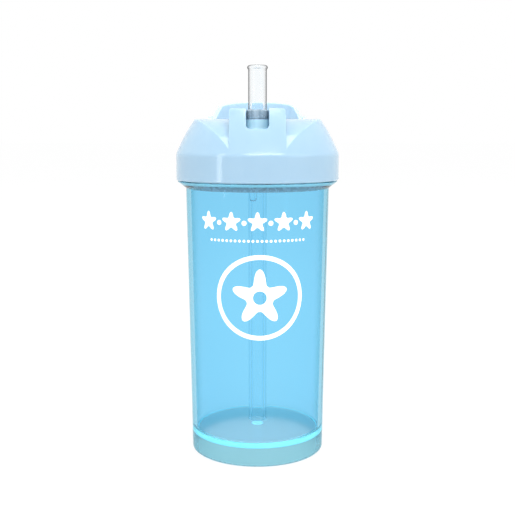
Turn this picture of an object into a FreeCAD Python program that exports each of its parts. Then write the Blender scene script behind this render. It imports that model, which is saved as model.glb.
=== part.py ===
import FreeCAD, Part
import math
import os

# A child's straw cup: clear bottle, screw lid, flip cover and soft folding straw.
# Millimetres. +Z is up and -Y is the front, where the straw folds to. The origin is the centre
# of the foot ring. Every piece is built where it sits with the cover open and the straw upright.

# Bottle
FOOT_RADIUS = 33.2
SHOULDER_RADIUS = 35.3
SHOULDER_HEIGHT = 132.0
FOOT_ROUNDING = 1.2
FOOT_INNER_RADIUS = 30.2
FLOOR_TOP = 11.0
FLOOR_UNDER = 9.0
FLOOR_ROUNDING = 1.9
BORE_RADIUS_LOW = 31.1
BORE_RADIUS = 33.0
FLANGE_RADIUS = 39.3
FLANGE_LOW = 135.2
FLANGE_TOP = 135.5
NECK_RADIUS = 35.0
NECK_TOP = 145.6
NECK_ROUNDING = 0.6

# Screw thread, one start
THREAD_LEAD = 6.0
THREAD_DEPTH = 1.3
THREAD_ROOT_WIDTH = 1.8
THREAD_CREST_WIDTH = 0.8
NECK_THREAD_START = 137.5
NECK_THREAD_TURNS = 1.0
LID_THREAD_START_ANGLE = 150.0
LID_THREAD_TURNS = 0.75

# Lid
LID_RADIUS = 40.0
LID_BOTTOM = 135.85
LID_WALL = 2.2
LID_WALL_RADIUS_INSIDE = 37.6
SKIRT_ROUNDING = 0.7
SKIRT_TOP_ROUNDING = 5.0
DOME_CENTRE_RADIUS = -37.9     # the dome's outline is an arc about this point
DOME_CENTRE_HEIGHT = 116.65
DOME_ARC = 84.15
RIDGE_Y = -5.0
RIDGE_TOP = 165.4
RIDGE_ROUNDING = 1.0
DRUM_LENGTH = 34.5             # half axes of the elliptic front slope each side of the block
DRUM_HEIGHT = 23.9
BLOCK_HALF_WIDTH = 13.0
BLOCK_TOP = 170.0
BLOCK_ROUNDING = 1.6
BLOCK_BACK_RADIUS = 9.2
SLOT_HALF_WIDTH = 5.4
SLOT_FLOOR = 160.4
SLOT_ROUNDING = 2.0
WELL_RADIUS = 6.55
SOCKET_RADIUS = 8.8
SOCKET_BOTTOM = 148.6
RECESS_HALF_WIDTH = 25.7
RECESS_FRONT = -3.0
RECESS_STEP_Y = 2.5            # behind this the recess floor drops to the ramp
RAMP_Y = 8.2
RAMP_Z = 151.6
BLOCK_BACK_BOTTOM = 150.85
POCKET_FRONT = -25.0
POCKET_BACK = -11.0
PIN_HOLE_DEPTH = 3.7

# Plug, seal and vent
PLUG_RADIUS = 31.2
PLUG_INNER_RADIUS = 29.0
PLUG_BOTTOM = 133.5
PLUG_FLOOR = 135.5
PLUG_TOP = 148.0
PLUG_FLANGE_RADIUS = 37.5
PLUG_FLANGE_UNDER = 145.9
PLUG_SLEEVE_RADIUS = 6.6
PLUG_SLEEVE_TOP = 140.0
SEAL_RADIUS = 32.9
SEAL_INNER_RADIUS = 31.3
SEAL_LIP_RADIUS = 29.6
SEAL_BOTTOM = 131.5
SEAL_LIP_TOP = 133.2
SEAL_TOP = 136.8
SEAL_ROUNDING = 0.5
VENT_X = -2.0
VENT_Y = -22.0
VENT_BOTTOM = 126.9
VENT_HOLE_RADIUS = 1.5
VENT_FLANGE_RADIUS = 2.75
VENT_TIP_RADIUS = 1.1
VENT_TIP_BULGE = 1.75
VENT_BULGE_HEIGHT = 1.3
VENT_BELLY_RADIUS = 1.8
VENT_BELLY_HEIGHT = 2.6
VENT_FLANGE_HEIGHT = 0.8
VENT_FIT = 0.1
VENT_SLIT = 0.3
VENT_SLIT_DEPTH = 1.2

# Straw
STRAW_RADIUS = 4.55
STRAW_BORE = 3.1
STRAW_TOP = 191.3
LIP_RADIUS = 5.05
LIP_HEIGHT = 2.2
FOLD_Y = 0.0
FOLD_Z = 165.0
SPOUT_FOOT_RADIUS = 5.2
SPOUT_FOOT_TOP = 170.0
SPOUT_FOOT_CURVE = 0.8
SEAT_RADIUS = 5.5
COLLAR_RADIUS = 6.5
COLLAR_TOP = 162.0
COLLAR_BOTTOM = 142.0
COLLAR_FLANGE_RADIUS = 8.3
COLLAR_FLANGE_HEIGHT = 2.0
TUBE_BOTTOM = 13.5
TUBE_TOP = 155.0
TUBE_FIT = 0.02
COLLAR_FIT = 0.05

# Flip cover, drawn closed and then turned back to where it rests
HINGE_Y = 6.0
HINGE_Z = 163.0
OPEN_ANGLE = 165.4
COVER_HALF_WIDTH = 24.8
COVER_FRONT = -36.5
COVER_CURVE_START = -4.0       # behind this the cover's sides run straight back
COVER_CURVE_POWER = 2.8
COVER_RIM = 161.0
COVER_TOP = 174.0
COVER_WALL = 2.0
COVER_BACK = 4.5
COVER_DRAFT = 1.5
COVER_ROUNDING = 5.5
COVER_CLEARANCE = 0.5
ARM_GAP = 0.4                  # between the cover's arms and the lid's ridge, closed
ARM_NOTCH = 1.5
HUB_BACK = 1.0
HUB_RADIUS = 4.0
PIN_RADIUS = 2.0
PIN_REACH = 27.4
PIN_FIT = 0.05

FAR = 60.0                     # past every face of the lid
PAST = 1.0                     # how far a cut runs past the face that it opens
THREAD_BITE = 0.3              # how deep a thread's root is sunk in its wall
EDGE_MARGIN = 5.0              # keeps an edge search away from the ends


def vec(x, y, z):
    return FreeCAD.Vector(x, y, z)


X_AXIS = vec(1, 0, 0)
Z_AXIS = vec(0, 0, 1)


def upright(point):
    """A radius and a height, placed in the XZ plane."""
    return vec(point[0], 0, point[1])


def sideways(point):
    """A Y and a Z, placed in the YZ plane."""
    return vec(0, point[0], point[1])


def closed_face(place, points):
    """A flat face; a point given as a pair of points is an arc, as (on the way, end)."""
    edges = []
    here = points[0]
    for step in points[1:] + points[:1]:
        if isinstance(step[0], tuple):
            through, end = step
            edges.append(Part.Arc(place(here), place(through), place(end)).toShape())
        else:
            end = step
            edges.append(Part.LineSegment(place(here), place(end)).toShape())
        here = end
    return Part.Face(Part.Wire(edges))


def turned(points):
    """A solid of revolution about Z from (radius, height) points."""
    return closed_face(upright, points).revolve(vec(0, 0, 0), Z_AXIS, 360)


def across(points, half_width):
    """A (Y, Z) outline carried along X, centred on the middle plane."""
    face = closed_face(sideways, points)
    face.translate(vec(-half_width, 0, 0))
    return face.extrude(vec(2 * half_width, 0, 0))


def rod(radius, bottom, top, x=0.0, y=0.0):
    return Part.makeCylinder(radius, top - bottom, vec(x, y, bottom), Z_AXIS)


def block(x0, x1, y0, y1, z0, z1):
    return Part.makeBox(x1 - x0, y1 - y0, z1 - z0, vec(x0, y0, z0))


def corner(centre, radius, start_degrees, end_degrees):
    """The (on the way, end) pair of a rounding about centre."""
    ends = []
    for degrees in ((start_degrees + end_degrees) / 2, end_degrees):
        angle = math.radians(degrees)
        ends.append((centre[0] + radius * math.cos(angle), centre[1] + radius * math.sin(angle)))
    return tuple(ends)


def edges_at(shape, test):
    """The edges whose two ends and middle all pass the test."""
    found = []
    for edge in shape.Edges:
        first, last = edge.ParameterRange
        samples = [edge.valueAt(first + (last - first) * part) for part in (0.02, 0.5, 0.98)]
        if all(test(point) for point in samples):
            found.append(edge)
    return found


def near(value, target):
    return abs(value - target) < 0.02


def thread(root_radius, depth, start_height, start_angle, turns):
    """A helical ridge; a negative depth stands inwards."""
    bite = math.copysign(THREAD_BITE, depth)
    root = root_radius - bite
    crest = root_radius + depth
    helix = Part.makeHelix(THREAD_LEAD, THREAD_LEAD * turns, root)
    profile = Part.makePolygon([
        vec(root, 0, -THREAD_ROOT_WIDTH / 2),
        vec(crest, 0, -THREAD_CREST_WIDTH / 2),
        vec(crest, 0, THREAD_CREST_WIDTH / 2),
        vec(root, 0, THREAD_ROOT_WIDTH / 2),
        vec(root, 0, -THREAD_ROOT_WIDTH / 2),
    ])
    ridge = Part.Wire(helix.Edges).makePipeShell([profile], True, True)
    ridge.rotate(vec(0, 0, 0), Z_AXIS, start_angle)
    ridge.translate(vec(0, 0, start_height))
    return ridge


# Bottle -------------------------------------------------------------------------------------

def bottle():
    wall = turned([
        (FOOT_INNER_RADIUS, 0),
        (FOOT_RADIUS - FOOT_ROUNDING, 0),
        corner((FOOT_RADIUS - FOOT_ROUNDING, FOOT_ROUNDING), FOOT_ROUNDING, -90, 0),
        (SHOULDER_RADIUS, SHOULDER_HEIGHT),
        (FLANGE_RADIUS, FLANGE_LOW),
        (FLANGE_RADIUS, FLANGE_TOP),
        (NECK_RADIUS, FLANGE_TOP),
        (NECK_RADIUS, NECK_TOP - NECK_ROUNDING),
        corner((NECK_RADIUS - NECK_ROUNDING, NECK_TOP - NECK_ROUNDING), NECK_ROUNDING, 0, 90),
        (BORE_RADIUS + NECK_ROUNDING, NECK_TOP),
        corner((BORE_RADIUS + NECK_ROUNDING, NECK_TOP - NECK_ROUNDING), NECK_ROUNDING, 90, 180),
        (BORE_RADIUS, SHOULDER_HEIGHT - 3),
        (BORE_RADIUS_LOW, FLOOR_TOP + FLOOR_ROUNDING),
        corner((BORE_RADIUS_LOW - FLOOR_ROUNDING, FLOOR_TOP + FLOOR_ROUNDING), FLOOR_ROUNDING, 0, -90),
        (0, FLOOR_TOP),
        (0, FLOOR_UNDER),
        (FOOT_INNER_RADIUS, FLOOR_UNDER),
    ])
    ridge = thread(NECK_RADIUS, THREAD_DEPTH, NECK_THREAD_START, 0, NECK_THREAD_TURNS)
    return wall.fuse(ridge)


# Lid ----------------------------------------------------------------------------------------

def dome_radius(height, inset=0.0):
    rise = height - DOME_CENTRE_HEIGHT
    return DOME_CENTRE_RADIUS + math.sqrt((DOME_ARC - inset) ** 2 - rise ** 2)


def dome(inset, top, bottom):
    """The skirt and the round top above it, cut level at top."""
    side = LID_RADIUS if inset == 0 else LID_WALL_RADIUS_INSIDE
    reach = side - DOME_CENTRE_RADIUS
    bend = DOME_CENTRE_HEIGHT + math.sqrt((DOME_ARC - inset) ** 2 - reach ** 2)
    middle = (bend + top) / 2
    arc_end = ((dome_radius(middle, inset), middle), (dome_radius(top, inset), top))
    return turned([(0, bottom), (side, bottom), (side, bend), arc_end, (0, top)])


def rounded_dome(top, rounding):
    """The outside form, with its skirt edges and its top edge rounded."""
    form = dome(0, top, LID_BOTTOM)
    form = form.makeFillet(SKIRT_ROUNDING, edges_at(form, lambda p: near(p.z, LID_BOTTOM)))
    rim = edges_at(form, lambda p: near(p.z, top))
    form = form.makeFillet(rounding, rim)
    low = LID_BOTTOM + EDGE_MARGIN
    high = top - EDGE_MARGIN
    bend = edges_at(form, lambda p: low < p.z < high and near(math.hypot(p.x, p.y), LID_RADIUS))
    return form.makeFillet(SKIRT_TOP_ROUNDING, [edge for edge in bend if edge.Closed])


def drum(inset, grow=0.0):
    """Everything under the ridge and the elliptic slope in front of it."""
    centre = vec(0, RIDGE_Y, RIDGE_TOP - DRUM_HEIGHT)
    long_axis = DRUM_LENGTH - inset + grow
    short_axis = DRUM_HEIGHT - inset + grow
    front = centre + vec(0, -long_axis, 0)
    top = centre + vec(0, 0, short_axis)
    ellipse = Part.Ellipse(front, top, centre)
    slope = Part.ArcOfEllipse(ellipse, 0, math.pi / 2).toShape()
    floor_z = LID_BOTTOM - FAR
    outline = Part.Wire([
        slope,
        Part.makeLine(top, vec(0, FAR, top.z)),
        Part.makeLine(vec(0, FAR, top.z), vec(0, FAR, floor_z)),
        Part.makeLine(vec(0, FAR, floor_z), vec(0, front.y, floor_z)),
        Part.makeLine(vec(0, front.y, floor_z), front),
    ])
    face = Part.Face(outline)
    face.translate(vec(-FAR, 0, 0))
    return face.extrude(vec(2 * FAR, 0, 0))


def ramp_height(y):
    """The recess floor behind the hubs, which follows the open cover."""
    return RAMP_Z + math.tan(math.radians(180 - OPEN_ANGLE)) * (y - RAMP_Y)


def cover_recess(grow):
    hub_floor = HINGE_Z - HUB_RADIUS - COVER_CLEARANCE - grow
    return across([
        (RECESS_FRONT - grow, RIDGE_TOP + FAR),
        (RECESS_FRONT - grow, hub_floor),
        (RECESS_STEP_Y, hub_floor),
        (RAMP_Y, ramp_height(RAMP_Y) - grow),
        (FAR, ramp_height(FAR) - grow),
        (FAR, RIDGE_TOP + FAR),
    ], RECESS_HALF_WIDTH + grow)


def straw_block():
    """The block that the straw folds into, with a round back about the straw."""
    front = dome(0, BLOCK_TOP, LID_BOTTOM)
    front = front.common(block(-BLOCK_HALF_WIDTH, BLOCK_HALF_WIDTH, -FAR, 0, LID_BOTTOM, BLOCK_TOP))
    back = rod(BLOCK_BACK_RADIUS, BLOCK_BACK_BOTTOM, BLOCK_TOP)
    whole = front.fuse(back).removeSplitter()
    rim = edges_at(whole, lambda p: near(p.z, BLOCK_TOP))
    whole = whole.makeFillet(BLOCK_ROUNDING, rim)
    return whole.common(rounded_dome(BLOCK_TOP, BLOCK_ROUNDING))


def straw_slot():
    """The open-topped slot from the front of the block to the straw, with rounded floor corners."""
    slot = block(-SLOT_HALF_WIDTH, SLOT_HALF_WIDTH, -FAR, 0, SLOT_FLOOR, BLOCK_TOP + FAR)
    low = edges_at(slot, lambda p: near(p.z, SLOT_FLOOR) and near(abs(p.x), SLOT_HALF_WIDTH))
    return slot.makeFillet(SLOT_ROUNDING, low)


def lid_hollow():
    """The space under the lid, one wall thickness inside every outside surface."""
    top = RIDGE_TOP - LID_WALL
    low = LID_BOTTOM - PAST
    under_slope = drum(LID_WALL).fuse(block(-FAR, FAR, -FAR, FAR, low - PAST, PLUG_TOP + PAST))
    hollow = dome(LID_WALL, top, low).common(under_slope)
    hollow = hollow.cut(cover_recess(LID_WALL))
    slot_wall = SLOT_HALF_WIDTH + LID_WALL
    hollow = hollow.cut(block(-slot_wall, slot_wall, -FAR, 0, SLOT_FLOOR - LID_WALL, BLOCK_TOP))
    return hollow.cut(rod(SOCKET_RADIUS, SOCKET_BOTTOM, BLOCK_TOP))


def core_pockets():
    """Cored-out space each side of the slot, so that the block has even walls."""
    inner = SLOT_HALF_WIDTH + LID_WALL
    outer = BLOCK_HALF_WIDTH - LID_WALL
    pockets = []
    for x0, x1 in ((-outer, -inner), (inner, outer)):
        pockets.append(block(x0, x1, POCKET_FRONT, POCKET_BACK, SLOT_FLOOR - LID_WALL, BLOCK_TOP - LID_WALL))
    return pockets


def pin_holes():
    radius = PIN_RADIUS + PIN_FIT
    inner = RECESS_HALF_WIDTH - PAST / 2
    holes = []
    for start in (-inner - PIN_HOLE_DEPTH, inner):
        holes.append(Part.makeCylinder(radius, PIN_HOLE_DEPTH, vec(start, HINGE_Y, HINGE_Z), X_AXIS))
    return holes


def screw_lid():
    shell = rounded_dome(RIDGE_TOP, RIDGE_ROUNDING).common(drum(0))
    shell = shell.cut(cover_recess(0))
    shell = shell.fuse(straw_block())
    shell = shell.cut(lid_hollow())
    socket = rod(SOCKET_RADIUS, SOCKET_BOTTOM, SLOT_FLOOR)
    shell = shell.fuse(socket)
    well = rod(WELL_RADIUS, SOCKET_BOTTOM - PAST, BLOCK_TOP + PAST)
    shell = shell.cut([straw_slot(), well] + core_pockets())
    shell = shell.cut(pin_holes())
    start = NECK_THREAD_START - THREAD_LEAD / 2 + THREAD_LEAD * LID_THREAD_START_ANGLE / 360
    ridge = thread(LID_WALL_RADIUS_INSIDE, -THREAD_DEPTH, start, LID_THREAD_START_ANGLE, LID_THREAD_TURNS)
    return shell.fuse(ridge)


# Plug, seal and vent ------------------------------------------------------------------------

def inner_plug():
    cup = turned([
        (0, PLUG_BOTTOM),
        (PLUG_RADIUS, PLUG_BOTTOM),
        (PLUG_RADIUS, PLUG_FLANGE_UNDER),
        (PLUG_FLANGE_RADIUS, PLUG_FLANGE_UNDER),
        (PLUG_FLANGE_RADIUS, PLUG_TOP),
        (PLUG_INNER_RADIUS, PLUG_TOP),
        (PLUG_INNER_RADIUS, PLUG_FLOOR),
        (0, PLUG_FLOOR),
    ])
    cup = cup.fuse(rod(PLUG_SLEEVE_RADIUS, PLUG_FLOOR, PLUG_SLEEVE_TOP))
    straw_hole = rod(STRAW_RADIUS + TUBE_FIT, PLUG_BOTTOM - PAST, PLUG_SLEEVE_TOP + PAST)
    vent_hole = rod(VENT_HOLE_RADIUS + TUBE_FIT, PLUG_BOTTOM - PAST, PLUG_FLOOR + PAST, VENT_X, VENT_Y)
    return cup.cut([straw_hole, vent_hole])


def lid_seal():
    """A soft ring round the plug's lower edge, with a lip that turns in under it."""
    return turned([
        (SEAL_LIP_RADIUS, SEAL_BOTTOM),
        (SEAL_RADIUS - SEAL_ROUNDING, SEAL_BOTTOM),
        corner((SEAL_RADIUS - SEAL_ROUNDING, SEAL_BOTTOM + SEAL_ROUNDING), SEAL_ROUNDING, -90, 0),
        (SEAL_RADIUS, SEAL_TOP - SEAL_ROUNDING),
        corner((SEAL_RADIUS - SEAL_ROUNDING, SEAL_TOP - SEAL_ROUNDING), SEAL_ROUNDING, 0, 90),
        (SEAL_INNER_RADIUS, SEAL_TOP),
        (SEAL_INNER_RADIUS, SEAL_LIP_TOP),
        (SEAL_LIP_RADIUS, SEAL_LIP_TOP),
    ])


def vent_valve():
    """A drop-shaped valve that hangs through the plug's floor, slit at its tip."""
    lower_top = PLUG_BOTTOM - VENT_FIT
    lower_under = lower_top - VENT_FLANGE_HEIGHT
    upper_under = PLUG_FLOOR + VENT_FIT
    upper_top = upper_under + VENT_FLANGE_HEIGHT
    belly = (VENT_BELLY_RADIUS, VENT_BOTTOM + VENT_BELLY_HEIGHT)
    body = turned([
        (0, VENT_BOTTOM),
        (VENT_TIP_RADIUS, VENT_BOTTOM),
        ((VENT_TIP_BULGE, VENT_BOTTOM + VENT_BULGE_HEIGHT), belly),
        (VENT_HOLE_RADIUS, lower_under),
        (VENT_FLANGE_RADIUS, lower_under),
        (VENT_FLANGE_RADIUS, lower_top),
        (VENT_HOLE_RADIUS, lower_top),
        (VENT_HOLE_RADIUS, upper_under),
        (VENT_FLANGE_RADIUS, upper_under),
        (VENT_FLANGE_RADIUS, upper_top),
        (0, upper_top),
    ])
    across_slit = VENT_BELLY_RADIUS
    half_slit = VENT_SLIT / 2
    slit_top = VENT_BOTTOM + VENT_SLIT_DEPTH
    body = body.cut(block(-across_slit, across_slit, -half_slit, half_slit, VENT_BOTTOM - PAST, slit_top))
    body.translate(vec(VENT_X, VENT_Y, 0))
    return body


# Straw --------------------------------------------------------------------------------------

def straw_spout():
    """The part that folds: a lipped tube on a round foot centred on the fold."""
    lip_low = STRAW_TOP - LIP_HEIGHT
    curve_low = SPOUT_FOOT_TOP - SPOUT_FOOT_CURVE
    foot_curve = corner((STRAW_RADIUS, curve_low), SPOUT_FOOT_RADIUS - STRAW_RADIUS, 0, 90)
    tube = turned([
        (0, FOLD_Z),
        (SPOUT_FOOT_RADIUS, FOLD_Z),
        (SPOUT_FOOT_RADIUS, curve_low),
        foot_curve,
        (STRAW_RADIUS, lip_low),
        ((LIP_RADIUS, lip_low + LIP_HEIGHT / 2), (STRAW_RADIUS, STRAW_TOP)),
        (0, STRAW_TOP),
    ])
    foot = Part.makeSphere(SPOUT_FOOT_RADIUS, vec(0, FOLD_Y, FOLD_Z))
    return tube.fuse(foot).cut(rod(STRAW_BORE, FOLD_Z - FAR, STRAW_TOP + PAST)).removeSplitter()


def straw_collar():
    """The fixed foot of the moulding, hollowed to clear the spout as it folds forward."""
    flange_top = SOCKET_BOTTOM - COLLAR_FIT
    flange_low = flange_top - COLLAR_FLANGE_HEIGHT
    body = turned([
        (0, COLLAR_BOTTOM),
        (COLLAR_RADIUS, COLLAR_BOTTOM),
        (COLLAR_RADIUS, flange_low),
        (COLLAR_FLANGE_RADIUS, flange_low),
        (COLLAR_FLANGE_RADIUS, flange_top),
        (COLLAR_RADIUS, flange_top),
        (COLLAR_RADIUS, COLLAR_TOP),
        (0, COLLAR_TOP),
    ])
    seat = Part.makeSphere(SEAT_RADIUS, vec(0, FOLD_Y, FOLD_Z))
    way_forward = Part.makeCylinder(SEAT_RADIUS, FAR, vec(0, FOLD_Y, FOLD_Z), vec(0, -1, 0))
    bore = rod(STRAW_BORE, COLLAR_BOTTOM - PAST, COLLAR_TOP + PAST)
    tube_socket = rod(STRAW_RADIUS + TUBE_FIT, COLLAR_BOTTOM - PAST, TUBE_TOP)
    return body.cut([seat, way_forward, bore, tube_socket])


def straw_tube():
    return rod(STRAW_RADIUS, TUBE_BOTTOM, TUBE_TOP).cut(rod(STRAW_BORE, TUBE_BOTTOM - PAST, TUBE_TOP + PAST))


# Flip cover ---------------------------------------------------------------------------------

def cover_outline(inset, height, back):
    """The cover's plan at one height: straight sides and a full, rounded front."""
    half_width = COVER_HALF_WIDTH - inset
    length = COVER_CURVE_START - COVER_FRONT - inset
    steps = 12
    points = []
    for step in range(-steps, steps + 1):
        angle = math.pi / 2 * step / steps
        x = half_width * math.copysign(abs(math.sin(angle)) ** (2 / COVER_CURVE_POWER), angle)
        y = COVER_CURVE_START - length * math.cos(angle) ** (2 / COVER_CURVE_POWER)
        points.append(vec(x, y, height))
    curve = Part.BSplineCurve()
    curve.interpolate(points, InitialTangent=vec(0, -1, 0), FinalTangent=vec(0, 1, 0))
    left = vec(-half_width, back, height)
    right = vec(half_width, back, height)
    return Part.Wire([
        curve.toShape(),
        Part.makeLine(points[-1], right),
        Part.makeLine(right, left),
        Part.makeLine(left, points[0]),
    ])


def cover_form(inset, rounding, back):
    """The cover's solid form, drawn in towards its top, with a rounded top edge."""
    low = HINGE_Z - 2 * HUB_RADIUS
    top = COVER_TOP - inset
    form = Part.makeLoft([
        cover_outline(inset, low, back),
        cover_outline(inset + COVER_DRAFT, top, back),
    ], True, True)
    top_edges = edges_at(form, lambda p: near(p.z, top) and p.y < back - PAST)
    return form.makeFillet(rounding, top_edges)


def cover_side():
    """What is kept of the cover, seen from the side: hood, arms over the ridge, and hubs."""
    over_ridge = RIDGE_TOP + COVER_CLEARANCE
    arm_front = RECESS_FRONT + ARM_GAP
    turn = math.sin(math.radians(45)) * HUB_RADIUS
    side = across([
        (COVER_FRONT - PAST, COVER_RIM),
        (arm_front, COVER_RIM),
        (arm_front, over_ridge - ARM_NOTCH),
        (HINGE_Y - turn, HINGE_Z - turn),
        (HINGE_Y + HUB_RADIUS, HINGE_Z),
        (COVER_BACK, COVER_TOP + PAST),
        (COVER_FRONT - PAST, COVER_TOP + PAST),
    ], FAR)
    hub = Part.makeCylinder(HUB_RADIUS, 2 * FAR, vec(-FAR, HINGE_Y, HINGE_Z), X_AXIS)
    lid_below = drum(0, COVER_CLEARANCE).common(block(-FAR, FAR, -FAR, arm_front, 0, over_ridge))
    return side.fuse(hub).cut(lid_below)


def pivot_pins():
    start = COVER_HALF_WIDTH - COVER_WALL
    pins = []
    for x in (-PIN_REACH, start):
        pins.append(Part.makeCylinder(PIN_RADIUS, PIN_REACH - start, vec(x, HINGE_Y, HINGE_Z), X_AXIS))
    return pins


def flip_cover():
    back = HINGE_Y + HUB_RADIUS + HUB_BACK
    outer = cover_form(0, COVER_ROUNDING, back)
    inner = cover_form(COVER_WALL, COVER_ROUNDING - COVER_WALL, back + PAST)
    hood = outer.cut(inner).common(cover_side())
    hood = hood.cut(block(-FAR, FAR, COVER_BACK, FAR, COVER_TOP - COVER_ROUNDING, COVER_TOP + PAST))
    hood = hood.fuse(pivot_pins())
    hood.rotate(vec(0, HINGE_Y, HINGE_Z), X_AXIS, -OPEN_ANGLE)
    return hood


PIECES = {
    "bottle": bottle,
    "screw_lid": screw_lid,
    "inner_plug": inner_plug,
    "lid_seal": lid_seal,
    "vent_valve": vent_valve,
    "straw_spout": straw_spout,
    "straw_collar": straw_collar,
    "straw_tube": straw_tube,
    "flip_cover": flip_cover,
}


def main():
    os.makedirs("parts", exist_ok=True)
    for name, make in PIECES.items():
        shape = make()
        if not shape.isValid() or len(shape.Solids) != 1:
            raise ValueError(f"{name} is not one sound solid")
        shape.exportStep(f"parts/{name}.step")
        print(name, round(shape.Volume / 1000, 2), "ml")


main()
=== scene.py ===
import math

import bpy
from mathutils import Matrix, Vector


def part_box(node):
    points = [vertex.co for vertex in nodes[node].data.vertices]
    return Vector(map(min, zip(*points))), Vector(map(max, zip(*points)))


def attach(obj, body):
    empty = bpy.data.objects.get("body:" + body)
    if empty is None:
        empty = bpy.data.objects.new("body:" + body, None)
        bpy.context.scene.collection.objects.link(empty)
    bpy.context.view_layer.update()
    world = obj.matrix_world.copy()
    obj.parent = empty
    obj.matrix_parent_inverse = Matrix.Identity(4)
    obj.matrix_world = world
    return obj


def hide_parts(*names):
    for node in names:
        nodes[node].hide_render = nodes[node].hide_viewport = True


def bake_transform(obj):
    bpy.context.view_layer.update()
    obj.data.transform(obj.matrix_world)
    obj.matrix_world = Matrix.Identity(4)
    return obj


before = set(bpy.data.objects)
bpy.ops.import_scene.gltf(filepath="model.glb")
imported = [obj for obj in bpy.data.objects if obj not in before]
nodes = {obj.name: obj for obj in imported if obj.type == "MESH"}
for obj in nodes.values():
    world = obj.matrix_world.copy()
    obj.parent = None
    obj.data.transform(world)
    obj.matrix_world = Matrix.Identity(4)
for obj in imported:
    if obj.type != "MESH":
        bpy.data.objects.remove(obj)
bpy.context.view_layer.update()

# A child's straw cup on a white studio floor. Metres, in the CAD model's frame: +Z is up, -Y is
# the front, and the origin is the middle of the foot. The bottle, lid, cover, plug, seal and vent
# are the CAD meshes with finished materials. The straw moulding with its foot and sleeve, the
# tube, the two glowing rings and the glowing floor spot, which are painted light, and the print
# are modelled here.

MM = 0.001

# Camera: place in metres, degrees down from level, lens and sensor in millimetres
CAMERA_PLACE = (0.0, -0.4297, 0.1573)
CAMERA_PITCH = 8.0
CAMERA_LENS = 60.5
CAMERA_SENSOR = 36

# Studio: each light is its name, place, width and height, and watts
LIGHTS_AIM = (0, 0, 0.1)
LIGHTS = [
    ("top_softbox", (0.05, -0.08, 1.3), (0.9, 0.6), 7.0),
    ("left_strip", (-1.0, -0.75, 0.35), (0.15, 1.2), 2.5),
    ("front_softbox", (0.2, -1.05, 0.93), (1.1, 0.36), 8.5),
    ("right_fill", (1.2, -0.7, 0.5), (0.8, 0.8), 2.0),
]
STUDIO_HALF = 20.0
STUDIO_GREYS = ((0.165, 0.165, 0.165), (0.175, 0.175, 0.175))
STUDIO_GLOW = 0.825
MOST_BOUNCES = 32
MOST_GLOSSY_BOUNCES = 16

# The bottle's foot, for the masks of its material
UNDER_RADIUS = 31.0 * MM
UNDER_HEIGHT = 10.0 * MM
FOOT_WALL_HEIGHT = 8.9 * MM
FLOOR_HEIGHT = 11.2 * MM

# The bottle's plastic
# The floor's tint is nearly white, painted light that makes it look lit; the foot's inner wall is a
# darker teal, painted shade in the foot's hollow.
FLOOR_PAINTED_LIGHT = (0.90, 0.96, 1.0)
FOOT_WALL_PAINTED_SHADE = (0.28, 0.62, 0.67)
BOTTLE_THROUGH = (0.0, 0.476, 0.643)
BOTTLE_DENSITY = 42.0
BOTTLE_IOR = 1.15
# Painted edge shade: where the bottle's colour turns to its edge colour, by viewing angle.
BOTTLE_EDGE_SHADE_FROM = 0.5
BOTTLE_EDGE_SHADE_TO = 0.9
UNDERSIDE_ROUGHNESS = 0.55

# The silicones
CLEAR_TONES = ((0.95, 0.98, 0.99), (0.98, 0.99, 1.0))
# Painted edge shade: where the silicones' colours turn to their edge colours, by viewing angle.
CLEAR_EDGE_SHADE_FROM = 0.2
CLEAR_EDGE_SHADE_TO = 0.72
CLOUDY_IOR = 1.3

# Noise values lie mostly between these
NOISE_LOW = 0.3
NOISE_HIGH = 0.7

# The straw, in millimetres
SPOUT_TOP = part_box("straw_spout")[1].z / MM
TUBE_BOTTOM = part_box("straw_tube")[0].z / MM
TUBE_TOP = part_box("straw_tube")[1].z / MM
STRAW_RADIUS = 4.55
STRAW_BORE = 3.1
STRAW_BOTTOM = 161.5
LIP_START = 2.3
LIP_ROUND = 1.1
RIM_ROUND = 0.5
TUBE_ROUND = 0.3
BORE_MARGIN = 0.2

# The longest run in a straw outline, in millimetres
BEND_STEP = 0.5

# The foot of the straw moulding, in millimetres
FOOT_BORE = STRAW_RADIUS - 1.2
FOOT_INNER = STRAW_RADIUS + 0.05
FOOT_BOTTOM = 142.0
FOOT_RADIUS = 6.4
FOOT_FLANGE_RADIUS = 8.2
FOOT_FLANGE_LOW = 146.6
FOOT_FLANGE_HIGH = 148.4
FOOT_STEM_RADIUS = 6.3
COLLAR_ROUND = 0.6
COLLAR_ROUND_RADIUS = 4.7

# The bottle's outer wall and the ink on it, in millimetres
WALL_FOOT_RADIUS = 33.2
WALL_TOP_RADIUS = 35.3
WALL_HEIGHT = 132.0
INK_LIFT = 0.03
INK_THICKNESS = 0.06
INK_SIDES = 120
INK_LEVELS = 8
NEAR_CENTRE = 0.02

# The row of stars and dots
ROW_COUNT = 9
ROW_SPACING = 6.2
ROW_STAR_HEIGHT = 118.0
ROW_DOT_HEIGHT = 117.6
ROW_DOT_RADIUS = 1.15

# The dotted line
LINE_SIDE_COUNT = 11
LINE_SPACING = 2.1
LINE_HEIGHT = 109.3
LINE_DOT_RADIUS = 0.65

# The emblem
EMBLEM_ACROSS = 1.1
EMBLEM_HEIGHT = 82.7
EMBLEM_HOLE = 3.2
STAR_TIPS = 5
STAR_SOFTNESS = 1.6


# Small helpers -------------------------------------------------------------------------------

def arc(centre, radius, start, end, steps=6):
    """(radius, height) points along a rounding, from one angle in degrees to another."""
    points = []
    for step in range(steps + 1):
        angle = math.radians(start + (end - start) * step / steps)
        points.append((centre[0] + radius * math.cos(angle), centre[1] + radius * math.sin(angle)))
    return points


def mesh_object(name, points, faces, smooth=True):
    mesh = bpy.data.meshes.new(name)
    mesh.from_pydata(points, [], faces)
    mesh.validate()
    for face in mesh.polygons:
        face.use_smooth = smooth
    mesh.update()
    made = bpy.data.objects.new(name, mesh)
    bpy.context.scene.collection.objects.link(made)
    return made


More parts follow.
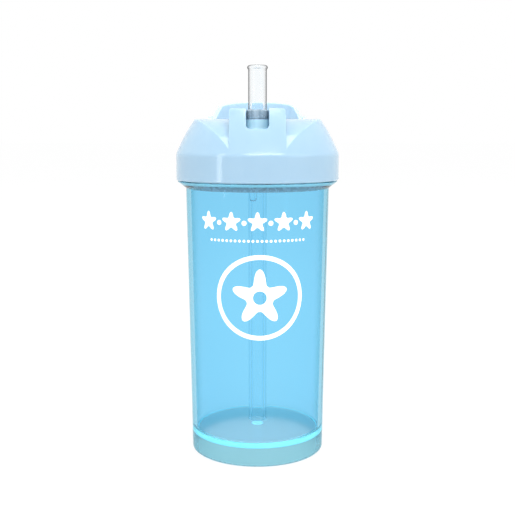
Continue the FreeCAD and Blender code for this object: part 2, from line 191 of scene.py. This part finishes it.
def lathe(name, outline, sides=128, crease=40):
    """A closed (radius, height) outline in millimetres, turned about the upright axis."""
    points = []
    for radius, height in outline:
        for side in range(sides):
            angle = 2 * math.pi * side / sides
            across = radius * math.cos(angle) * MM
            along = radius * math.sin(angle) * MM
            points.append((across, along, height * MM))
    faces = []
    rings = len(outline)
    for ring in range(rings):
        here = ring * sides
        above = (ring + 1) % rings * sides
        for side in range(sides):
            after = (side + 1) % sides
            faces.append((here + side, here + after, above + after, above + side))
    made = mesh_object(name, points, faces)
    made.data.set_sharp_from_angle(angle=math.radians(crease))
    return made


# Nodes for the materials ---------------------------------------------------------------------

def material(name):
    made = bpy.data.materials.new(name)
    made.use_nodes = True
    return made, made.node_tree, made.node_tree.nodes["Principled BSDF"]


def noise(tree, scale, detail=3.0, stretch=(1, 1, 1)):
    """Noise in the piece's own coordinates, with features about 1/scale metres across."""
    place = tree.nodes.new("ShaderNodeTexCoord")
    mapping = tree.nodes.new("ShaderNodeMapping")
    mapping.inputs["Scale"].default_value = stretch
    texture = tree.nodes.new("ShaderNodeTexNoise")
    texture.inputs["Scale"].default_value = scale
    texture.inputs["Detail"].default_value = detail
    tree.links.new(place.outputs["Object"], mapping.inputs["Vector"])
    tree.links.new(mapping.outputs["Vector"], texture.inputs["Vector"])
    return texture.outputs["Fac"]


def spread(tree, value, low, high):
    """A noise value carried over to the range from low to high."""
    ranged = tree.nodes.new("ShaderNodeMapRange")
    ranged.inputs["From Min"].default_value = NOISE_LOW
    ranged.inputs["From Max"].default_value = NOISE_HIGH
    ranged.inputs["To Min"].default_value = low
    ranged.inputs["To Max"].default_value = high
    tree.links.new(value, ranged.inputs["Value"])
    return ranged.outputs["Result"]


def two_tone(tree, value, first, second):
    """A colour between two fixed colours."""
    mix = tree.nodes.new("ShaderNodeMix")
    mix.data_type = "RGBA"
    mix.inputs["A"].default_value = (*first, 1)
    mix.inputs["B"].default_value = (*second, 1)
    tree.links.new(value, mix.inputs["Factor"])
    return mix.outputs["Result"]


def mixed(tree, factor, first, second):
    """A varying colour that turns to a fixed one as the factor goes from 0 to 1."""
    mix = tree.nodes.new("ShaderNodeMix")
    mix.data_type = "RGBA"
    mix.inputs["B"].default_value = (*second, 1)
    tree.links.new(factor, mix.inputs["Factor"])
    tree.links.new(first, mix.inputs["A"])
    return mix.outputs["Result"]


def mixed_value(tree, factor, first, second):
    """A varying number that turns to a fixed one as the factor goes from 0 to 1."""
    mix = tree.nodes.new("ShaderNodeMix")
    mix.inputs["B"].default_value = second
    tree.links.new(factor, mix.inputs["Factor"])
    tree.links.new(first, mix.inputs["A"])
    return mix.outputs["Result"]


def bump(tree, value, height, strength):
    node = tree.nodes.new("ShaderNodeBump")
    node.inputs["Distance"].default_value = height
    node.inputs["Strength"].default_value = strength
    tree.links.new(value, node.inputs["Height"])
    return node.outputs["Normal"]


def absorb(tree, colour, density):
    """Colour that deepens with the thickness of the plastic."""
    volume = tree.nodes.new("ShaderNodeVolumeAbsorption")
    volume.inputs["Color"].default_value = (*colour, 1)
    volume.inputs["Density"].default_value = density
    tree.links.new(volume.outputs["Volume"], tree.nodes["Material Output"].inputs["Volume"])


def painted_edge_shade(tree, colour, edge, start, end):
    """Painted edge shade: the colour of clear plastic, turning to the edge colour where it is seen on
    edge, standing for the darker reflections at grazing angles.
    """
    weight = tree.nodes.new("ShaderNodeLayerWeight")
    weight.inputs["Blend"].default_value = 0.5
    ranged = tree.nodes.new("ShaderNodeMapRange")
    ranged.interpolation_type = "SMOOTHSTEP"
    ranged.inputs["From Min"].default_value = start
    ranged.inputs["From Max"].default_value = end
    tree.links.new(weight.outputs["Facing"], ranged.inputs["Value"])
    return mixed(tree, ranged.outputs["Result"], colour, edge)


def below(tree, value, limit):
    """1 where the value is under the limit, else 0."""
    test = tree.nodes.new("ShaderNodeMath")
    test.operation = "LESS_THAN"
    test.inputs[1].default_value = limit
    tree.links.new(value, test.inputs[0])
    return test.outputs[0]


def times(tree, first, second):
    product = tree.nodes.new("ShaderNodeMath")
    product.operation = "MULTIPLY"
    tree.links.new(first, product.inputs[0])
    tree.links.new(second, product.inputs[1])
    return product.outputs[0]


def foot_masks(tree):
    """Three masks within the foot: the floor, its underside, and the foot's inner wall."""
    place = tree.nodes.new("ShaderNodeTexCoord")
    parts = tree.nodes.new("ShaderNodeSeparateXYZ")
    tree.links.new(place.outputs["Object"], parts.inputs["Vector"])
    flat = tree.nodes.new("ShaderNodeCombineXYZ")
    tree.links.new(parts.outputs["X"], flat.inputs["X"])
    tree.links.new(parts.outputs["Y"], flat.inputs["Y"])
    length = tree.nodes.new("ShaderNodeVectorMath")
    length.operation = "LENGTH"
    tree.links.new(flat.outputs["Vector"], length.inputs[0])
    within = below(tree, length.outputs["Value"], UNDER_RADIUS)
    under = times(tree, within, below(tree, parts.outputs["Z"], UNDER_HEIGHT))
    foot = times(tree, within, below(tree, parts.outputs["Z"], FOOT_WALL_HEIGHT))
    floor = times(tree, within, below(tree, parts.outputs["Z"], FLOOR_HEIGHT))
    return floor, under, foot


def facing_out(tree):
    """1 where the side that is seen faces away from the upright axis, else 0."""
    place = tree.nodes.new("ShaderNodeTexCoord")
    inward = tree.nodes.new("ShaderNodeVectorMath")
    inward.operation = "MULTIPLY"
    inward.inputs[1].default_value = (-1.0, -1.0, 0.0)
    tree.links.new(place.outputs["Object"], inward.inputs[0])
    product = tree.nodes.new("ShaderNodeVectorMath")
    product.operation = "DOT_PRODUCT"
    tree.links.new(inward.outputs["Vector"], product.inputs[0])
    tree.links.new(place.outputs["Normal"], product.inputs[1])
    return below(tree, product.outputs["Value"], 0.0)


# Materials -----------------------------------------------------------------------------------

def moulded_plastic(name, first, second, roughness):
    """Opaque moulded plastic: faint flow marks in the colour, an uneven gloss and a fine skin."""
    made, tree, shader = material(name)
    flow = spread(tree, noise(tree, 40), 0, 1)
    tree.links.new(two_tone(tree, flow, first, second), shader.inputs["Base Color"])
    gloss = spread(tree, noise(tree, 260, 4), *roughness)
    tree.links.new(gloss, shader.inputs["Roughness"])
    tree.links.new(bump(tree, noise(tree, 900, 2), 0.00001, 0.04), shader.inputs["Normal"])
    shader.inputs["IOR"].default_value = 1.42
    shader.inputs["Coat Weight"].default_value = 0.25
    shader.inputs["Coat Roughness"].default_value = 0.08
    shader.inputs["Subsurface Weight"].default_value = 0.7
    shader.inputs["Subsurface Radius"].default_value = (1.0, 1.0, 1.0)
    shader.inputs["Subsurface Scale"].default_value = 2.5 * MM
    return made


def clear_plastic(name, first, second, edge):
    """Tinted clear bottle plastic: even colour, high gloss, and a matt underside. Its edges are
    painted darker by viewing angle, its floor is painted paler and the foot's inner wall darker:
    painted shade and painted light.
    """
    made, tree, shader = material(name)
    floor, under, foot = foot_masks(tree)
    tint = spread(tree, noise(tree, 12), 0, 1)
    colour = two_tone(tree, tint, first, second)
    # Painted shade at the edges, by viewing angle.
    colour = painted_edge_shade(tree, colour, edge, BOTTLE_EDGE_SHADE_FROM, BOTTLE_EDGE_SHADE_TO)
    # Painted light on the floor and painted shade on the foot's inner wall.
    colour = mixed(tree, floor, colour, FLOOR_PAINTED_LIGHT)
    colour = mixed(tree, foot, colour, FOOT_WALL_PAINTED_SHADE)
    tree.links.new(colour, shader.inputs["Base Color"])
    absorb(tree, BOTTLE_THROUGH, BOTTLE_DENSITY)
    gloss = spread(tree, noise(tree, 150, 3), 0.015, 0.05)
    gloss = mixed_value(tree, under, gloss, UNDERSIDE_ROUGHNESS)
    tree.links.new(gloss, shader.inputs["Roughness"])
    waves = noise(tree, 60, 2, (1, 1, 0.1))
    tree.links.new(bump(tree, waves, 0.00003, 0.05), shader.inputs["Normal"])
    shader.inputs["Transmission Weight"].default_value = 1.0
    shader.inputs["IOR"].default_value = BOTTLE_IOR
    return made


def clear_silicone(name, edge, roughness, ior):
    """Clear silicone: very faintly cloudy, with a soft sheen and edges painted darker by viewing
    angle (painted shade).
    """
    made, tree, shader = material(name)
    cloud = spread(tree, noise(tree, 120), 0, 1)
    colour = two_tone(tree, cloud, *CLEAR_TONES)
    # Painted shade at the edges, by viewing angle.
    colour = painted_edge_shade(tree, colour, edge, CLEAR_EDGE_SHADE_FROM, CLEAR_EDGE_SHADE_TO)
    tree.links.new(colour, shader.inputs["Base Color"])
    tree.links.new(spread(tree, noise(tree, 400), *roughness), shader.inputs["Roughness"])
    shader.inputs["Transmission Weight"].default_value = 1.0
    shader.inputs["IOR"].default_value = ior
    return made


def silicone_cloud_and_painted_shade(name, first, second, streaks, transmission):
    """Silicone with streaks between two colours and a dull sheen: a faint cloud on the pale seal, and
    painted shade on the collar, whose dark streaks stand for the shaded inside seen through the clear
    silicone.
    """
    made, tree, shader = material(name)
    cloud = spread(tree, noise(tree, 120, 3, streaks), 0, 1)
    tree.links.new(two_tone(tree, cloud, first, second), shader.inputs["Base Color"])
    tree.links.new(spread(tree, noise(tree, 400), 0.2, 0.35), shader.inputs["Roughness"])
    shader.inputs["Transmission Weight"].default_value = transmission
    shader.inputs["IOR"].default_value = CLOUDY_IOR
    return made


def painted_light_plastic(name, first, second):
    """Painted light: a smooth pale tone with a soft sheen, for the pieces that stand for light
    gathering in the plastic.
    """
    made, tree, shader = material(name)
    cloud = spread(tree, noise(tree, 80), 0, 1)
    tree.links.new(two_tone(tree, cloud, first, second), shader.inputs["Base Color"])
    tree.links.new(spread(tree, noise(tree, 300), 0.25, 0.4), shader.inputs["Roughness"])
    return made


def ink(name):
    """White print: slightly uneven, semi-gloss."""
    made, tree, shader = material(name)
    cover = spread(tree, noise(tree, 300), 0, 1)
    white = two_tone(tree, cover, (0.93, 0.95, 0.97), (1.0, 1.0, 1.0))
    tree.links.new(white, shader.inputs["Base Color"])
    tree.links.new(spread(tree, noise(tree, 700), 0.3, 0.45), shader.inputs["Roughness"])
    tree.links.new(bump(tree, noise(tree, 2500), 0.00001, 0.2), shader.inputs["Normal"])
    return made


def glow(made, colour, strength):
    """Gives a material a faint light of its own."""
    shader = made.node_tree.nodes["Principled BSDF"]
    shader.inputs["Emission Color"].default_value = (*colour, 1)
    shader.inputs["Emission Strength"].default_value = strength


def only_from_outside(made):
    """Makes a ring's material clear wherever its inner side is seen."""
    tree = made.node_tree
    tree.links.new(facing_out(tree), tree.nodes["Principled BSDF"].inputs["Alpha"])


def finish_piece(piece, made):
    piece.data.materials.clear()
    piece.data.materials.append(made)
    return piece


def line_bore(piece, made, radius):
    """Gives the faces within a radius of the upright axis, in mm, a material of their own."""
    piece.data.materials.append(made)
    for face in piece.data.polygons:
        if math.hypot(face.center.x, face.center.y) < radius * MM:
            face.material_index = 1


# Straw moulding ------------------------------------------------------------------------------

def bend_with_straw(piece):
    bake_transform(piece)


def dense(outline):
    """The outline with its long runs divided."""
    points = []
    for index, here in enumerate(outline):
        after = outline[(index + 1) % len(outline)]
        parts = max(1, math.ceil(math.dist(here, after) / BEND_STEP))
        for part in range(parts):
            share = part / parts
            radius = here[0] + (after[0] - here[0]) * share
            height = here[1] + (after[1] - here[1]) * share
            points.append((radius, height))
    return points


def straw_moulding():
    """The clear drinking straw with its rounded lip."""
    outline = [(STRAW_BORE, STRAW_BOTTOM), (STRAW_RADIUS, STRAW_BOTTOM)]
    outline += [(STRAW_RADIUS, SPOUT_TOP - LIP_START)]
    outline += arc((3.95, SPOUT_TOP - LIP_ROUND), LIP_ROUND, -50, 90, 10)
    outline += arc((3.6, SPOUT_TOP - RIM_ROUND), RIM_ROUND, 90, 180, 4)
    piece = lathe("straw_moulding", dense(outline), 96, crease=50)
    bend_with_straw(piece)
    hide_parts("straw_spout")
    return piece


def straw_foot():
    """The thick foot of the moulding, with dark streaks of painted shade in its material: a flange
    under the lid and a collar in the slot.
    """
    socket = [(FOOT_INNER, 156.0), (FOOT_BORE, 155.2), (FOOT_BORE, FOOT_BOTTOM)]
    flange = [(FOOT_RADIUS, FOOT_BOTTOM), (FOOT_RADIUS, FOOT_FLANGE_LOW)]
    flange += [(FOOT_FLANGE_RADIUS, FOOT_FLANGE_LOW), (FOOT_FLANGE_RADIUS, FOOT_FLANGE_HIGH)]
    stem = [(FOOT_STEM_RADIUS, FOOT_FLANGE_HIGH), (FOOT_STEM_RADIUS, 157.0), (4.9, 158.4)]
    collar = [(4.8, 165.2)]
    collar += arc((COLLAR_ROUND_RADIUS, 165.9), COLLAR_ROUND, -60, 0)
    collar += arc((COLLAR_ROUND_RADIUS, 169.3), COLLAR_ROUND, 0, 80)
    collar += [(FOOT_INNER, 170.0)]
    piece = lathe("straw_foot", dense(socket + flange + stem + collar), 96, crease=50)
    bend_with_straw(piece)
    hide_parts("straw_collar")
    return piece


def straw_boot():
    """The light blue sleeve about the foot of the straw."""
    outline = [(4.95, 158.0), (5.7, 158.0), (5.7, 160.0), (5.35, 161.5), (5.35, 164.8)]
    outline += arc((5.15, 165.0), 0.2, 0, 180, 6)
    piece = lathe("straw_boot", dense(outline), 96)
    bend_with_straw(piece)
    return piece


def straw_tube():
    """The lower straw, which hangs from the lid and ends just above the floor."""
    outer = STRAW_RADIUS - 0.02
    foot_height = TUBE_BOTTOM + TUBE_ROUND
    outline = arc((outer - TUBE_ROUND, foot_height), TUBE_ROUND, -90, 0, 4)
    outline += [(outer, TUBE_TOP), (STRAW_BORE, TUBE_TOP)]
    outline += arc((STRAW_BORE + TUBE_ROUND, foot_height), TUBE_ROUND, 180, 270, 4)
    piece = lathe("straw_tube_soft", outline, 128)
    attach(piece, "lid")
    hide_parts("straw_tube")
    return piece


# Painted light in the bottle -----------------------------------------------------------------

def painted_floor_glow_ring():
    """Painted light: a pale glowing ring that stands for the light gathering in the corner of the
    floor and the wall.
    """
    outline = arc((30.9, 9.8), 0.6, 180, 270, 4) + arc((32.4, 9.7), 0.5, -90, 0, 4)
    outline += arc((32.45, 11.55), 0.45, 0, 180, 6) + arc((30.9, 10.2), 0.6, 60, 180, 4)
    piece = lathe("painted_floor_glow_ring", outline, 128)
    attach(piece, "bottle")
    return piece


def painted_flange_glow_ring():
    """Painted light: a pale glowing ring that stands for the light gathering in the flange under the
    lid.
    """
    outline = [(36.2, 134.3), (37.8, 134.3), (38.75, 135.05), (38.75, 135.3), (36.2, 135.3)]
    piece = lathe("painted_flange_glow_ring", outline, 128)
    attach(piece, "bottle")
    return piece


def painted_floor_spot():
    """Painted light: a small pale glowing disc in the middle of the floor, standing for a bright spot
    there.
    """
    outline = [(0.05, 10.9), (2.8, 10.9)] + arc((2.8, 11.1), 0.2, -90, 90, 6) + [(0.05, 11.25)]
    piece = lathe("painted_floor_spot", outline, 96)
    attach(piece, "bottle")
    return piece


# Print ---------------------------------------------------------------------------------------

def on_wall(across, height, lift):
    """A point on the bottle's outside, from its distance round the front and its height, in mm."""
    radius = WALL_FOOT_RADIUS + (WALL_TOP_RADIUS - WALL_FOOT_RADIUS) * height / WALL_HEIGHT + lift
    angle = across / radius
    return (radius * math.sin(angle) * MM, -radius * math.cos(angle) * MM, height * MM)


def ink_points(centre_across, centre_height, outer, inner):
    """The points of one shape, on the underside of the ink and then on its top."""
    points = []
    for lift in (INK_LIFT, INK_LIFT + INK_THICKNESS):
        for level in range(INK_LEVELS + 1):
            for side in range(INK_SIDES):
                angle = 2 * math.pi * side / INK_SIDES
                reach = inner(angle) + (outer(angle) - inner(angle)) * level / INK_LEVELS
                across = centre_across + reach * math.sin(angle)
                height = centre_height + reach * math.cos(angle)
                points.append(on_wall(across, height, lift))
    return points


def ink_faces(start):
    """The faces of one shape whose points begin at start: underside, top, outer and inner rim."""
    faces = []
    layer = (INK_LEVELS + 1) * INK_SIDES
    for side in range(INK_SIDES):
        after = (side + 1) % INK_SIDES
        for level in range(INK_LEVELS):
            here = start + level * INK_SIDES
            beyond = here + INK_SIDES
            under = (here + side, beyond + side, beyond + after, here + after)
            faces.append(under)
            faces.append(tuple(layer + corner for corner in reversed(under)))
        rim = start + INK_LEVELS * INK_SIDES
        faces.append((rim + side, layer + rim + side, layer + rim + after, rim + after))
        faces.append((start + after, layer + start + after, layer + start + side, start + side))
    return faces


def printed(name, shapes):
    """Thin raised ink. A shape is (centre across, centre height, outer edge, inner edge), the
    edges being functions of the angle that give a distance from the centre."""
    points = []
    faces = []
    for shape in shapes:
        faces += ink_faces(len(points))
        points += ink_points(*shape)
    piece = mesh_object(name, points, faces)
    piece.data.set_sharp_from_angle(angle=math.radians(40))
    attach(piece, "bottle")
    return piece


def circle(radius):
    return lambda angle: radius


def oval(across, up):
    return lambda angle: across * up / math.hypot(up * math.sin(angle), across * math.cos(angle))


def star(radius, waist):
    """A star with soft tips."""
    def edge(angle):
        wave = (1 + math.cos(STAR_TIPS * angle)) / 2
        return waist + (radius - waist) * wave ** STAR_SOFTNESS
    return edge


def print_band():
    """A curved row of stars and dots."""
    shapes = []
    for index in range(ROW_COUNT):
        across = (index - (ROW_COUNT - 1) / 2) * ROW_SPACING
        if index % 2:
            shapes.append((across, ROW_DOT_HEIGHT, circle(ROW_DOT_RADIUS), circle(NEAR_CENTRE)))
        else:
            shapes.append((across, ROW_STAR_HEIGHT, star(4.7, 2.5), circle(NEAR_CENTRE)))
    return printed("print_stars", shapes)


def print_line():
    """A fine dotted line."""
    shapes = []
    for index in range(-LINE_SIDE_COUNT, LINE_SIDE_COUNT + 1):
        across = index * LINE_SPACING
        shapes.append((across, LINE_HEIGHT, circle(LINE_DOT_RADIUS), circle(NEAR_CENTRE)))
    return printed("print_dots", shapes)


def print_ring():
    """The plain ring of the emblem, a little wider than it is high."""
    edges = (oval(21.3, 20.2), oval(19.1, 18.0))
    return printed("print_ring", [(EMBLEM_ACROSS, EMBLEM_HEIGHT, *edges)])


def print_flower():
    """The soft star of the emblem, with a round hole."""
    edges = (star(13.5, 6.5), circle(EMBLEM_HOLE))
    return printed("print_flower", [(EMBLEM_ACROSS, EMBLEM_HEIGHT, *edges)])


# Studio --------------------------------------------------------------------------------------

def area_light(name, place, size, power):
    light = bpy.data.lights.new(name, "AREA")
    light.shape = "RECTANGLE"
    light.size, light.size_y = size
    light.energy = power
    holder = bpy.data.objects.new(name, light)
    holder.location = place
    aim = Vector(LIGHTS_AIM) - Vector(place)
    holder.rotation_euler = aim.to_track_quat("-Z", "Y").to_euler()
    bpy.context.scene.collection.objects.link(holder)


def studio_floor():
    half = STUDIO_HALF
    corners = [(-half, -half, 0), (half, -half, 0), (half, half, 0), (-half, half, 0)]
    floor = mesh_object("floor", corners, [(0, 1, 2, 3)], False)
    paint, tree, shader = material("floor_paint")
    tree.links.new(two_tone(tree, noise(tree, 3), *STUDIO_GREYS), shader.inputs["Base Color"])
    shader.inputs["Roughness"].default_value = 0.9
    shader.inputs["Specular IOR Level"].default_value = 0.0
    glow(paint, (1, 1, 1), STUDIO_GLOW)
    floor.data.materials.append(paint)


def studio():
    scene = bpy.context.scene
    scene.view_settings.view_transform = "Standard"
    world = bpy.data.worlds.new("studio")
    scene.world = world
    world.use_nodes = True
    background = world.node_tree.nodes["Background"]
    background.inputs["Color"].default_value = (1, 1, 1, 1)
    background.inputs["Strength"].default_value = 1.0
    for light in LIGHTS:
        area_light(*light)
    scene.cycles.max_bounces = MOST_BOUNCES
    scene.cycles.transmission_bounces = MOST_BOUNCES
    scene.cycles.glossy_bounces = MOST_GLOSSY_BOUNCES
    studio_floor()


def camera():
    data = bpy.data.cameras.new("camera")
    data.lens = CAMERA_LENS
    data.sensor_width = CAMERA_SENSOR
    holder = bpy.data.objects.new("camera", data)
    holder.location = CAMERA_PLACE
    holder.rotation_euler = (math.radians(90 - CAMERA_PITCH), 0, 0)
    bpy.context.scene.collection.objects.link(holder)
    bpy.context.scene.camera = holder


# Putting it together -------------------------------------------------------------------------

lid_blue = moulded_plastic(
    "lid_plastic", (0.322, 0.478, 0.605), (0.330, 0.488, 0.618), roughness=(0.12, 0.2))
# Painted light: the cover is the lid's plastic made paler, standing for light reaching the inside of
# the open cover.
cover_blue_painted_light = moulded_plastic(
    "cover_plastic", (0.48, 0.63, 0.74), (0.49, 0.64, 0.75), roughness=(0.14, 0.22))
# Painted light: the plug is made far paler than the lid's blue, standing for light on it in the shade
# inside the lid.
plug_blue_painted_light = moulded_plastic(
    "plug_plastic", (0.80, 0.86, 0.92), (0.82, 0.88, 0.94), roughness=(0.3, 0.4))
boot_blue_painted_glow = moulded_plastic(
    "boot_silicone_painted_glow", (0.56, 0.86, 0.98), (0.60, 0.90, 1.0), roughness=(0.3, 0.4))
# Painted light: a faint glow standing for light coming through the sleeve in the shaded slot.
glow(boot_blue_painted_glow, (0.4, 0.75, 1.0), 0.2)
bottle_blue = clear_plastic(
    "clear_plastic", (0.525, 0.84, 0.99), (0.54, 0.85, 0.993), edge=(0.06, 0.50, 0.62))
seal_grey_painted_glow = silicone_cloud_and_painted_shade(
    "seal_silicone", (0.80, 0.83, 0.84), (0.84, 0.87, 0.88), streaks=(1, 1, 1), transmission=0.25)
# Painted light: a faint warm glow that lightens the seal band in the shade under the lid.
glow(seal_grey_painted_glow, (1.0, 0.4, 0.3), 0.09)
# Painted shade: the straw's edges turn black where seen on edge; the bore's edges a paler grey.
straw_clear = clear_silicone(
    "clear_silicone", edge=(0.0, 0.0, 0.0), roughness=(0.005, 0.015), ior=1.2)
tube_clear = clear_silicone(
    "tube_silicone", edge=(0.75, 0.85, 0.9), roughness=(0.02, 0.05), ior=1.06)
bore_clear = clear_silicone(
    "bore_silicone", edge=(0.9, 0.92, 0.93), roughness=(0.005, 0.015), ior=1.2)
vent_clear = clear_silicone(
    "vent_silicone", edge=(0.45, 0.6, 0.68), roughness=(0.02, 0.05), ior=1.12)
# Painted shade: the collar's dark streaks stand for the shaded inside seen through the clear
# silicone.
collar_painted_shade = silicone_cloud_and_painted_shade(
    "collar_silicone_painted_shade", (0.30, 0.42, 0.52), (0.68, 0.81, 0.90), streaks=(6, 6, 0.3), transmission=0.35)
# Painted light: the two rings and the floor spot are pale and glow of their own, standing for light
# gathering in the bottle; the rings show only from outside.
ring_painted_glow = painted_light_plastic("ring_painted_glow_plastic", (0.45, 0.92, 0.97), (0.5, 0.95, 1.0))
glow(ring_painted_glow, (0.12, 0.9, 1.0), 0.22)
only_from_outside(ring_painted_glow)
flange_painted_glow = painted_light_plastic("flange_painted_glow_plastic", (0.45, 0.75, 0.85), (0.5, 0.78, 0.88))
glow(flange_painted_glow, (0.4, 0.8, 0.85), 0.12)
only_from_outside(flange_painted_glow)
floor_spot_painted_glow = painted_light_plastic("floor_spot_painted_glow_plastic", (0.8, 0.95, 0.98), (0.85, 0.97, 1.0))
glow(floor_spot_painted_glow, (0.65, 1.0, 1.0), 0.45)
white_ink = ink("white_ink")

finish_piece(nodes["screw_lid"], lid_blue)
finish_piece(nodes["flip_cover"], cover_blue_painted_light)
finish_piece(nodes["inner_plug"], plug_blue_painted_light)
finish_piece(nodes["lid_seal"], seal_grey_painted_glow)
finish_piece(nodes["vent_valve"], vent_clear)
finish_piece(nodes["bottle"], bottle_blue)

drinking_end = finish_piece(straw_moulding(), straw_clear)
line_bore(drinking_end, bore_clear, STRAW_BORE + BORE_MARGIN)
finish_piece(straw_foot(), collar_painted_shade)
finish_piece(straw_boot(), boot_blue_painted_glow)
finish_piece(straw_tube(), tube_clear)
# Pieces of painted light: the glowing rings and the glowing floor spot.
finish_piece(painted_floor_glow_ring(), ring_painted_glow)
finish_piece(painted_flange_glow_ring(), flange_painted_glow)
finish_piece(painted_floor_spot(), floor_spot_painted_glow)
for piece in (print_band(), print_line(), print_ring(), print_flower()):
    finish_piece(piece, white_ink)

studio()
camera()
